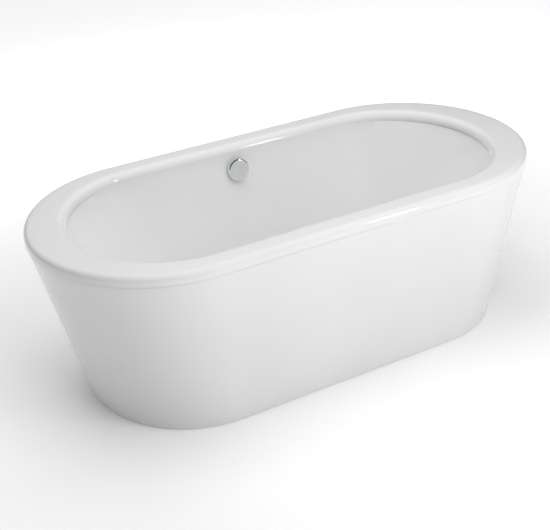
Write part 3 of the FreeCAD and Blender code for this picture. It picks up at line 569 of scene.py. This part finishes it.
def hand_over(piece: bpy.types.Object, body: str, slot: Slot, finishes: Finishes, *nodes: str) -> None:
    """Put a finished piece on its body, in its finish, in place of its CAD nodes.

    Args:
        piece: the finished piece.
        body: the body that it rides on.
        slot: its material slot.
        finishes: the built materials.
        nodes: the CAD nodes that it stands for.
    """
    finishes.dress(piece, slot.key)
    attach(piece, body)
    if nodes:
        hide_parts(*nodes)
    LOG.info("%s: %d faces", piece.name, len(piece.data.polygons))


# ---------------------------------------------------------------- shell and skirt
@dataclass(frozen=True)
class Outline:
    """An oval: two straight sides closed by two half-ellipses."""

    half_length: float
    half_width: float
    end: float
    end_steps: int = 96
    side_steps: int = 24

    def grown(self, margin: float) -> Outline:
        """The same oval, larger by a margin all round."""
        return Outline(self.half_length + margin, self.half_width + margin, self.end + margin)

    def column(self, index: int) -> tuple[Vector, Vector]:
        """One point of the oval, counter-clockwise from the foot of the right end.

        Args:
            index: which point.

        Returns:
            The point and the outward direction there.
        """
        straight = self.half_length - self.end
        half = self.end_steps + self.side_steps
        way = 1.0 if index < half else -1.0
        index %= half
        if index <= self.end_steps:
            angle = pi * index / self.end_steps - pi / 2
            point = Vector((straight + self.end * cos(angle), self.half_width * sin(angle), 0))
            outward = Vector((cos(angle) / self.end, sin(angle) / self.half_width, 0)).normalized()
        else:
            share = (index - self.end_steps) / self.side_steps
            point = Vector((straight * (1 - 2 * share), self.half_width, 0))
            outward = Vector((0, 1, 0))
        return point * way, outward * way

    @property
    def count(self) -> int:
        """How many points go round."""
        return 2 * (self.end_steps + self.side_steps)


@dataclass(frozen=True)
class Sheet:
    """One face of the acrylic sheet, from the lip's foot over the deck and down to the middle of the floor."""

    rim: Outline
    opening: Outline
    floor: Outline
    lip_foot: float
    deck: float
    floor_height: float
    lip_round: float
    open_round: float
    floor_round: float

    def rings(self) -> list[Ring]:
        """All rings of the face, from the lip inwards."""
        columns = [self._column(i) for i in range(self.rim.count)]
        return [list(ring) for ring in zip(*columns)]

    def _column(self, index: int) -> list[Vector]:
        """The section through one point of the outline.

        Args:
            index: which point of the outline.

        Returns:
            The section's points.
        """
        up = Vector((0, 0, 1))
        outer, away = self.rim.column(index)
        points = [outer + up * z for z in (self.lip_foot, (self.lip_foot + self.deck - self.lip_round) / 2)]
        for x, z in arc((-self.lip_round, self.deck - self.lip_round), self.lip_round, 0, pi / 2, 10):
            points.append(outer + away * x + up * z)
        top, top_out = self.opening.column(index)
        foot, foot_out = self.floor.column(index)
        fall = self.deck - self.floor_height
        run = foot - top
        lean = atan2(-run.dot(top_out), fall)
        edge = self.open_round * tan((pi / 2 - lean) / 2)
        start = points[-1]
        arrive = top + top_out * edge + up * self.deck
        points += [start.lerp(arrive, share) for share in (0.25, 0.5, 0.75)]
        flare = arc((edge, self.deck - self.open_round), self.open_round, pi / 2, pi + lean, 12)
        for x, z in flare:
            share = (self.deck - z) / fall
            on_wall = top + run * share
            points.append(on_wall + top_out * (x - run.dot(top_out) * share) + up * z)
        foot_lean = atan2(-run.dot(foot_out), fall)
        toe = self.floor_round * tan((pi / 2 - foot_lean) / 2)
        cove = arc((-toe, self.floor_height + self.floor_round), self.floor_round, -foot_lean, -pi / 2, 14)
        cove_points = []
        for x, z in cove:
            rise = z - self.floor_height
            on_wall = foot - run * (rise / fall)
            cove_points.append(on_wall + foot_out * (x - tan(foot_lean) * rise) + up * z)
        points += [points[-1].lerp(cove_points[0], share / 8) for share in range(1, 8)]
        return points + cove_points


@dataclass
class BathShell:
    """The acrylic shell: deck with a rolled lip, and the basin, with its two holes."""

    opening: Outline = Outline(0.771, 0.360, 0.326)
    floor: Outline = Outline(0.560, 0.285, 0.255)
    rim_end: float = 0.429
    lip_height: float = 0.033
    lip_wall: float = 0.005
    deck_wall: float = 0.006
    wall: float = 0.005
    floor_wall: float = 0.006
    lip_round: float = 0.020
    open_round: float = 0.027
    floor_round: float = 0.080
    floor_height: float = 0.185
    hole: float = 0.026
    recess: float = 0.037
    recess_depth: float = 0.0025

    def build(self, finishes: Finishes, control: Matrix) -> None:
        """Make the shell.

        Args:
            finishes: the built materials.
            control: the overflow control's place.
        """
        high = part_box("bath_shell")[1]
        rim = Outline(high[0], high[1], self.rim_end)
        deck = high[2]
        foot = deck - self.lip_height
        face = Sheet(rim, self.opening, self.floor, foot, deck, self.floor_height,
                     self.lip_round, self.open_round, self.floor_round)
        back = Sheet(rim.grown(-self.lip_wall), self.opening.grown(self.wall), self.floor.grown(self.wall),
                     foot, deck - self.deck_wall, self.floor_height - self.floor_wall,
                     self.lip_round - self.lip_wall, self.open_round - self.wall,
                     self.floor_round + self.floor_wall)
        mesh = closed_bands(back.rings()[::-1] + face.rings())
        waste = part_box("waste_strainer")
        along = (waste[0][0] + waste[1][0]) / 2
        drain = Matrix.Translation((along, 0, self.floor_height))
        cutters = [
            rod_mesh(self.hole, -0.03, 0.03, drain),
            rod_mesh(self.recess, -self.recess_depth, 0.03, drain),
            rod_mesh(self.hole, -0.02, 0.02, control),
        ]
        piece = make_piece("acrylic_shell", with_holes(mesh, cutters))
        hand_over(piece, "tub", Slot.WHITE_ACRYLIC, finishes, "bath_shell")


def rod_mesh(radius: float, start: float, end: float, place: Matrix) -> bpy.types.Mesh:
    """A round bar along its place's own Z, for cutting holes.

    Args:
        radius: its radius.
        start: where it starts.
        end: where it ends.
        place: where it goes.

    Returns:
        The mesh.
    """
    return turned([(0, start), (radius, start), (radius, end), (0, end)], place, 64)


@dataclass
class Skirt:
    """The one-piece tapered skirt, with a softened top edge and an inward flange."""

    setback: float = 0.0026
    top_end: float = 0.4264
    base: Outline = Outline(0.774, 0.384, 0.361)
    wall: float = 0.005
    flange: float = 0.032
    flange_wall: float = 0.005
    edge: float = 0.0022
    rows: int = 28

    def build(self, finishes: Finishes) -> None:
        """Make the skirt."""
        low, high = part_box("apron")
        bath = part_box("bath_shell")[1]
        top = Outline(bath[0] - self.setback, bath[1] - self.setback, self.top_end)
        rings = [self._ring(self.base, low[2], -self.edge)]
        soften = arc((-self.edge, high[2] - self.edge), self.edge, 0, pi / 2, 4)
        for row in range(self.rows + 1):
            share = row / self.rows
            z = low[2] + self.edge + (high[2] - low[2] - 2 * self.edge) * share
            rings.append(self._between(top, low[2], high[2], z, 0.0))
        rings += [self._between(top, low[2], high[2], z, inset) for inset, z in soften[1:]]
        inside = high[2] - self.flange_wall
        rings += [self._between(top, low[2], high[2], z, -self.flange) for z in (high[2], inside)]
        for row in range(self.rows, -1, -1):
            z = low[2] + (inside - low[2]) * row / self.rows
            rings.append(self._between(top, low[2], high[2], z, -self.wall))
        piece = make_piece("tapered_skirt", closed_bands(rings, close_ends=False))
        hand_over(piece, "tub", Slot.WHITE_ACRYLIC, finishes, "apron")

    @staticmethod
    def _ring(outline: Outline, z: float, margin: float) -> Ring:
        """A level ring of an outline grown by a margin."""
        oval = outline.grown(margin)
        return [oval.column(i)[0] + Vector((0, 0, z)) for i in range(oval.count)]

    def _between(self, top: Outline, low: float, high: float, z: float, margin: float) -> Ring:
        """A level ring of the tapered wall.

        Args:
            top: the outline at the wall's top.
            low: the height of the base.
            high: the height of the top.
            z: the ring's height.
            margin: how far it stands outside the wall's face.

        Returns:
            The ring.
        """
        share = (z - low) / (high - low)
        upper = self._ring(top, z, margin)
        lower = self._ring(self.base, z, margin)
        return [foot.lerp(head, share) for foot, head in zip(lower, upper)]


# ---------------------------------------------------------------- overflow control and plug
@dataclass
class OverflowControl:
    """The chrome knob: a barely hollow face, a rounded shoulder, a thin wall and a flat at its foot."""

    radius: float = 0.041
    front: float = 0.022
    back: float = 0.0095
    shoulder: float = 0.005
    wall: float = 0.003
    flat: float = 0.038
    boss: float = 0.009
    bore: float = 0.004
    dish: float = 0.0002

    @staticmethod
    def place() -> Matrix:
        """The control's own frame, from its joint: Z into the basin, Y up the wall."""
        joint = next(joint for joint in frame["joints"] if joint["name"] == "knob_turn")
        out = Vector(joint["axis"]).normalized()
        side = Vector((1, 0, 0))
        turn = Matrix((side, out.cross(side), out)).transposed().to_4x4()
        return Matrix.Translation(joint["pos_m"]) @ turn

    def build(self, finishes: Finishes) -> None:
        """Make the knob."""
        inner = self.radius - self.wall
        lip = self.radius - self.shoulder
        inner_top = self.front - self.wall
        profile = [(lip * share / 6, self.front - self.dish * (1 - (share / 6) ** 2)) for share in range(6)]
        profile += arc((lip, self.front - self.shoulder), self.shoulder, pi / 2, 0, 10)
        profile += arc((self.radius - 0.0008, self.back + 0.0008), 0.0008, 0, -pi / 2, 3)
        profile += [(inner, self.back), (inner, inner_top - self.shoulder / 2)]
        profile += [(inner - self.shoulder / 2, inner_top), (self.boss, inner_top), (self.boss, self.back)]
        profile += [(self.bore, self.back), (self.bore, inner_top), (0.0, inner_top)]
        piece = make_piece("control_knob", turned(profile, self.place(), 128, -self.flat))
        hand_over(piece, "knob", Slot.CHROME, finishes, "overflow_knob")


@dataclass
class Plug:
    """The chrome plug's cap, slightly domed with a rounded edge."""

    dome: float = 0.0009
    edge: float = 0.0014

    def build(self, finishes: Finishes) -> None:
        """Make the cap."""
        low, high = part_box("plug_cap")
        radius = (high[0] - low[0]) / 2
        middle = Matrix.Translation(((low[0] + high[0]) / 2, 0, 0))
        shoulder = high[2] - self.dome
        crown = [(radius - self.edge) * share / 8 for share in range(9)]
        profile = [(r, high[2] - self.dome * (r / radius) ** 2) for r in crown]
        profile += arc((radius - self.edge, shoulder - self.edge), self.edge, pi / 2, 0, 6)[1:]
        profile += [(radius, low[2] + self.edge / 2), (radius - self.edge / 2, low[2]), (0.0, low[2])]
        piece = make_piece("domed_plug", turned(profile, middle))
        hand_over(piece, "plug", Slot.CHROME, finishes, "plug_cap")


# ---------------------------------------------------------------- geometry node trees
class Tree:
    """A geometry node tree under construction."""

    def __init__(self, name: str, sizes: Sequence[str]) -> None:
        """Start a tree with a geometry input, named sizes and a material input.

        Args:
            name: the tree's name.
            sizes: names of its number inputs.
        """
        self.group = bpy.data.node_groups.new(name, "GeometryNodeTree")
        faces = self.group.interface
        faces.new_socket("Geometry", in_out="OUTPUT", socket_type="NodeSocketGeometry")
        faces.new_socket("Geometry", in_out="INPUT", socket_type="NodeSocketGeometry")
        for size in sizes:
            faces.new_socket(size, in_out="INPUT", socket_type="NodeSocketFloat")
        faces.new_socket("Material", in_out="INPUT", socket_type="NodeSocketMaterial")
        self.inputs = self.group.nodes.new("NodeGroupInput").outputs

    def node(self, kind: str, settings: dict[str, Any] | None = None,
             inputs: dict[Any, Any] | None = None) -> bpy.types.Node:
        """Add a node.

        Args:
            kind: the node's type name.
            settings: its own properties.
            inputs: values or links of its sockets, by name or index.

        Returns:
            The new node.
        """
        node = self.group.nodes.new(kind)
        for key, value in (settings or {}).items():
            setattr(node, key, value)
        for key, value in (inputs or {}).items():
            if isinstance(value, Value):
                value = value.socket
            if isinstance(value, bpy.types.NodeSocket):
                self.group.links.new(value, node.inputs[key])
            else:
                node.inputs[key].default_value = value
        return node

    def value(self, name: str) -> Value:
        """One of the tree's size inputs, for arithmetic."""
        return Value(self.group, self.inputs[name])

    def close(self, geometry: bpy.types.NodeSocket) -> bpy.types.NodeTree:
        """End the tree in plain, finished geometry."""
        real = self.node("GeometryNodeRealizeInstances", inputs={0: geometry})
        dressed = self.node("GeometryNodeSetMaterial", inputs={0: real.outputs[0], "Material": self.inputs["Material"]})
        self.node("NodeGroupOutput", inputs={0: dressed.outputs[0]})
        return self.group


def grown_piece(name: str, source: bpy.types.ID, tree: bpy.types.NodeTree,
                sizes: dict[str, float], material: bpy.types.Material) -> bpy.types.Object:
    """Run a geometry node tree over a curve or some points, and keep the result as a plain mesh.

    Args:
        name: the piece's name.
        source: the curve or mesh that the tree starts from.
        tree: the node tree.
        sizes: the tree's size inputs, by name.
        material: the material of the result.

    Returns:
        The finished object, without its modifier.
    """
    host = bpy.data.objects.new(name + "_host", source)
    bpy.context.scene.collection.objects.link(host)
    modifier = host.modifiers.new("grow", "NODES")
    modifier.node_group = tree
    for item in tree.interface.items_tree:
        if item.item_type == "SOCKET" and item.in_out == "INPUT":
            if item.name in sizes:
                modifier[item.identifier] = sizes[item.name]
            elif item.name == "Material":
                modifier[item.identifier] = material
    mesh = evaluated(host)
    bpy.data.objects.remove(host)
    return make_piece(name, mesh)


def polyline(points: Sequence[Vector]) -> bpy.types.Curve:
    """An open curve of straight runs."""
    curve = bpy.data.curves.new("route", "CURVE")
    curve.dimensions = "3D"
    spline = curve.splines.new("POLY")
    spline.points.add(len(points) - 1)
    for point, place in zip(spline.points, points):
        point.co = (*place, 1.0)
    return curve


def ribbed_tree() -> bpy.types.NodeTree:
    """A round bar along a curve, whose corners get an arc, with even ribs or thread along it."""
    tree = Tree("ribbed_bar", ("Bend", "Pitch", "Radius", "Depth"))
    bent = tree.node("GeometryNodeFilletCurve", {"mode": "POLY"}, {
        "Curve": tree.inputs["Geometry"], "Count": 24, "Radius": tree.inputs["Bend"], "Limit Radius": True})
    even = tree.node("GeometryNodeResampleCurve", {"mode": "LENGTH"}, {
        "Curve": bent.outputs[0], "Length": tree.value("Pitch") * 0.2})
    along = tree.node("GeometryNodeSplineParameter").outputs["Length"]
    turns = Value(tree.group, along) * (2 * pi)
    phase = tree.node("ShaderNodeMath", {"operation": "DIVIDE"}, {0: turns, 1: tree.inputs["Pitch"]})
    wave = tree.node("ShaderNodeMath", {"operation": "COSINE"}, {0: phase.outputs[0]})
    swell = Value(tree.group, wave.outputs[0]) * 0.5 - 0.5
    radius = tree.value("Radius") + swell * tree.value("Depth")
    sized = tree.node("GeometryNodeSetCurveRadius", inputs={"Curve": even.outputs[0], "Radius": radius})
    circle = tree.node("GeometryNodeCurvePrimitiveCircle", inputs={"Resolution": 24, "Radius": 1.0})
    skin = tree.node("GeometryNodeCurveToMesh", inputs={
        "Curve": sized.outputs[0], "Profile Curve": circle.outputs[0], "Fill Caps": True})
    if "Scale" in skin.inputs:
        tree.group.links.new(radius.socket, skin.inputs["Scale"])
    return tree.close(skin.outputs[0])


def screw_tree() -> bpy.types.NodeTree:
    """Upright screws with a cross recess under each point: a head below and a shank above."""
    tree = Tree("screws", ("Shank Radius", "Shank Length", "Head Radius", "Head Height"))
    head = tree.node("GeometryNodeMeshCylinder", inputs={
        "Vertices": 32, "Radius": tree.inputs["Head Radius"], "Depth": tree.inputs["Head Height"]})
    blades = []
    for turn in (0.0, pi / 2):
        size = tree.node("ShaderNodeCombineXYZ", inputs={
            0: tree.value("Head Radius") * 1.1, 1: tree.value("Head Radius") * 0.22, 2: tree.inputs["Head Height"]})
        blade = tree.node("GeometryNodeMeshCube", inputs={"Size": size.outputs[0]})
        drop = tree.node("ShaderNodeCombineXYZ", inputs={2: tree.value("Head Height") * -0.6})
        moved = tree.node("GeometryNodeTransform", inputs={
            "Geometry": blade.outputs[0], "Translation": drop.outputs[0], "Rotation": (0.0, 0.0, turn)})
        blades.append(moved.outputs[0])
    recessed = tree.node("GeometryNodeMeshBoolean", {"operation": "DIFFERENCE"}, {0: head.outputs[0]})
    for blade in blades:
        tree.group.links.new(blade, recessed.inputs[1])
    low = tree.node("ShaderNodeCombineXYZ", inputs={2: tree.value("Head Height") * -0.5})
    head_place = tree.node("GeometryNodeTransform", inputs={
        "Geometry": recessed.outputs[0], "Translation": low.outputs[0]})
    shank = tree.node("GeometryNodeMeshCylinder", inputs={
        "Vertices": 20, "Radius": tree.inputs["Shank Radius"], "Depth": tree.inputs["Shank Length"]})
    high = tree.node("ShaderNodeCombineXYZ", inputs={2: tree.value("Shank Length") * 0.5})
    shank_place = tree.node("GeometryNodeTransform", inputs={
        "Geometry": shank.outputs[0], "Translation": high.outputs[0]})
    screw = tree.node("GeometryNodeJoinGeometry")
    for part in (head_place, shank_place):
        tree.group.links.new(part.outputs[0], screw.inputs[0])
    spread = tree.node("GeometryNodeInstanceOnPoints", inputs={
        "Points": tree.inputs["Geometry"], "Instance": screw.outputs[0]})
    return tree.close(spread.outputs[0])


# ---------------------------------------------------------------- ribbed and threaded pieces, screws
@dataclass
class OverflowHose:
    """The corrugated hose from the overflow housing down to the waste."""

    port_drop: float = 0.052
    port_depth: float = 0.028
    radius: float = 0.012
    depth: float = 0.0016
    pitch: float = 0.0042
    bend: float = 0.1244

    def build(self, finishes: Finishes, control: Matrix, tree: bpy.types.NodeTree) -> None:
        """Make the hose.

        Args:
            finishes: the built materials.
            control: the overflow control's place.
            tree: the ribbed bar's node tree.
        """
        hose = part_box("overflow_hose")
        level = hose[0][2] + self.radius
        start = control @ Vector((0, -self.port_drop, -self.port_depth))
        down = control.to_3x3() @ Vector((0, -1, 0))
        corner = start + down * ((start.z - level) / -down.z)
        end = Vector((start.x, hose[0][1], level))
        sizes = {"Bend": self.bend, "Pitch": self.pitch, "Radius": self.radius, "Depth": self.depth}
        piece = grown_piece("corrugated_hose", polyline([start, corner, end]), tree, sizes,
                            finishes.materials[Slot.GREY_PLASTIC.key])
        hand_over(piece, "tub", Slot.GREY_PLASTIC, finishes, "overflow_hose")


@dataclass
class Feet:
    """The four feet's threaded stems."""

    pitch: float = 0.00175
    depth: float = 0.0008
    corners: tuple[str, ...] = ("front_left", "front_right", "back_left", "back_right")

    def build(self, finishes: Finishes, tree: bpy.types.NodeTree) -> None:
        """Make the stems, each on its own foot's body."""
        for corner in self.corners:
            low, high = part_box(f"foot_stem_{corner}")
            middle = [(low[axis] + high[axis]) / 2 for axis in range(2)]
            ends = [Vector((*middle, z)) for z in (low[2], high[2])]
            sizes = {"Bend": 0.0, "Pitch": self.pitch, "Radius": (high[0] - low[0]) / 2, "Depth": self.depth}
            piece = grown_piece(f"threaded_stem_{corner}", polyline(ends), tree, sizes,
                                finishes.materials[Slot.ZINC_STEEL.key])
            hand_over(piece, f"foot_{corner}", Slot.ZINC_STEEL, finishes, f"foot_stem_{corner}")


@dataclass
class Screws:
    """The cross-head screws that hold the board and the skirt."""

    head_radius: float = 0.004
    head_height: float = 0.0025
    shank_radius: float = 0.002
    board_shares: tuple[float, ...] = (-0.38, -0.14, 0.14, 0.38)
    batten_shares: tuple[float, ...] = (-0.42, -0.15, 0.15, 0.42)

    def build(self, finishes: Finishes, tree: bpy.types.NodeTree) -> None:
        """Make both groups of screws."""
        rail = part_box("frame_rail_back")
        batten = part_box("rim_batten_back")
        rows = (("board_screws", rail, self.board_shares), ("apron_screws", batten, self.batten_shares))
        for node, along, shares in rows:
            low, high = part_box(node)
            side = high[1] - self.head_radius
            length = along[1][0] - along[0][0]
            level = low[2] + self.head_height
            points = [Vector((share * length, way * side, level)) for way in (-1, 1) for share in shares]
            mesh = bpy.data.meshes.new(node + "_places")
            mesh.from_pydata(points, [], [])
            sizes = {"Shank Radius": self.shank_radius, "Shank Length": high[2] - level,
                     "Head Radius": self.head_radius, "Head Height": self.head_height}
            piece = grown_piece("cross_head_" + node, mesh, tree, sizes, finishes.materials[Slot.ZINC_STEEL.key])
            hand_over(piece, "tub", Slot.ZINC_STEEL, finishes, node)


# ---------------------------------------------------------------- studio
@dataclass(frozen=True)
class Softbox:
    """A rectangular studio light that looks at the bath; azimuth 0 is in front and 90 to the right.

    A light that is not mirrored stands for one behind a large diffuser, which leaves no outline in the gloss.
    """

    name: str
    azimuth: float
    elevation: float
    distance: float
    width: float
    height: float
    power: float
    aim: tuple[float, float, float] = (0.0, 0.0, 0.3)
    mirrored: bool = False

    def build(self) -> None:
        """Hang the light."""
        turn, rise = radians(self.azimuth), radians(self.elevation)
        away = Vector((sin(turn) * cos(rise), -cos(turn) * cos(rise), sin(rise)))
        data = bpy.data.lights.new(self.name, "AREA")
        data.shape = "RECTANGLE"
        data.size = self.width
        data.size_y = self.height
        data.energy = self.power
        lamp = bpy.data.objects.new(self.name, data)
        lamp.location = Vector(self.aim) + away * self.distance
        lamp.rotation_euler = (-away).to_track_quat("-Z", "Y").to_euler()
        lamp.visible_glossy = self.mirrored
        bpy.context.scene.collection.objects.link(lamp)


@dataclass
class Studio:
    """The pale floor, the lights and the camera."""

    azimuth: float = radians(-27.0)
    elevation: float = radians(28.2)
    roll: float = radians(-3.9)
    distance: float = 3.67
    focal: float = 68.6
    target: tuple[float, float, float] = (-0.066, 0.0, 0.286)
    floor_half: float = 30.0
    ambient: float = 0.08
    softboxes: tuple[Softbox, ...] = field(default_factory=lambda: (
        Softbox("low_front", 20, 4, 3.4, 1.8, 0.7, 8),
        Softbox("front", 12, 48, 3.2, 2.4, 2.4, 45),
        Softbox("back", 180, 48, 3.2, 2.4, 2.4, 32),
        Softbox("steep_right", 90, 76, 3.0, 1.8, 1.8, 15),
        Softbox("steep_left", -90, 76, 3.0, 1.8, 1.8, 30),
        Softbox("front_window", 30, 18, 3.5, 0.25, 1.2, 10, mirrored=True),
    ))

    def build(self) -> None:
        """Set the studio up."""
        self._floor()
        self._world()
        for softbox in self.softboxes:
            softbox.build()
        self._camera()
        bpy.context.scene.view_settings.view_transform = "Standard"

    def _floor(self) -> None:
        """Lay the floor that the bath stands on."""
        reach = self.floor_half
        mesh = bpy.data.meshes.new("studio_floor")
        corners = [(-reach, -reach, 0), (reach, -reach, 0), (reach, reach, 0), (-reach, reach, 0)]
        mesh.from_pydata(corners, [], [(0, 1, 2, 3)])
        floor = bpy.data.objects.new("studio_floor", mesh)
        bpy.context.scene.collection.objects.link(floor)
        mesh.materials.append(FloorPaint().build("studio_floor"))

    def _world(self) -> None:
        """Fill the room with even white light."""
        world = bpy.data.worlds.new("studio")
        world.use_nodes = True
        background = world.node_tree.nodes["Background"]
        background.inputs["Color"].default_value = (1.0, 1.0, 1.0, 1.0)
        background.inputs["Strength"].default_value = self.ambient
        bpy.context.scene.world = world

    def _camera(self) -> None:
        """Put the camera where it looks slightly down along the front left of the bath."""
        a, e, r = self.azimuth, self.elevation, self.roll
        back = Vector((sin(a) * cos(e), -cos(a) * cos(e), sin(e)))
        right = Vector((cos(a), sin(a), 0))
        up = back.cross(right)
        right, up = right * cos(r) + up * sin(r), up * cos(r) - right * sin(r)
        data = bpy.data.cameras.new("camera")
        data.sensor_fit = "HORIZONTAL"
        data.lens = self.focal
        camera = bpy.data.objects.new("camera", data)
        turn = Matrix((right, up, back)).transposed().to_4x4()
        camera.matrix_world = Matrix.Translation(Vector(self.target) + back * self.distance) @ turn
        bpy.context.scene.collection.objects.link(camera)
        bpy.context.scene.camera = camera


def main() -> None:
    """Build every piece of the bath, then the studio."""
    logging.basicConfig(level=logging.INFO, format="%(name)s: %(message)s")
    finishes = Finishes()
    finishes.dress_nodes()
    control = OverflowControl.place()
    BathShell().build(finishes, control)
    Skirt().build(finishes)
    OverflowControl().build(finishes)
    Plug().build(finishes)
    ribbed = ribbed_tree()
    OverflowHose().build(finishes, control, ribbed)
    Feet().build(finishes, ribbed)
    Screws().build(finishes, screw_tree())
    Studio().build()


if __name__ == "__main__":
    main()
